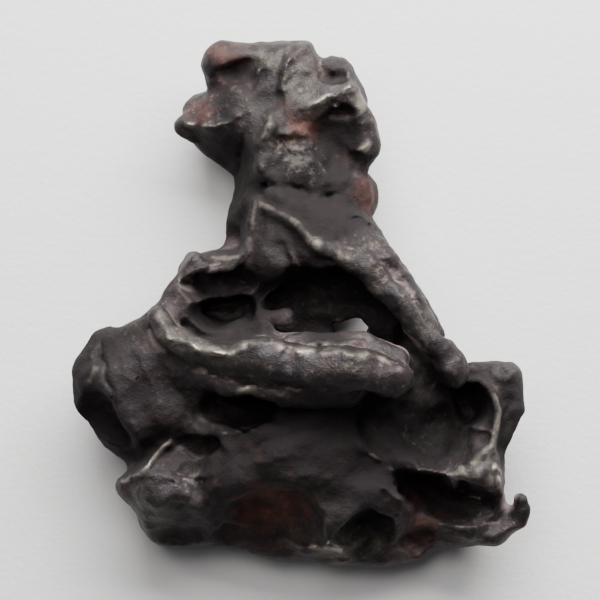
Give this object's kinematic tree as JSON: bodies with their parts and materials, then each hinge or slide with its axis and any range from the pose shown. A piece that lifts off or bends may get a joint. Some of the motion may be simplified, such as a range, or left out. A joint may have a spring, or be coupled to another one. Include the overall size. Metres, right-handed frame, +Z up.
{
  "type": "pallasite meteorite",
  "caption": "Small natural web of weathered iron-nickel with rounded hollows, thin burnished crests and one hole right through, lying flat.",
  "frame": {"origin": "middle of the bounding box's underside, on the plane the piece rests on", "axes": "+Y along the long side from the broad body to the narrow head, +Z up through the thickness, +X to the side with the curled tail"},
  "size_m": [0.0346, 0.04, 0.0145],
  "materials": {
    "iron": "dark weathered iron-nickel, burnished bright on the crests, with brown rust in some hollows"
  },
  "bodies": {
    "root": {"pallasite_skeleton": "iron"}
  },
  "joints": []
}
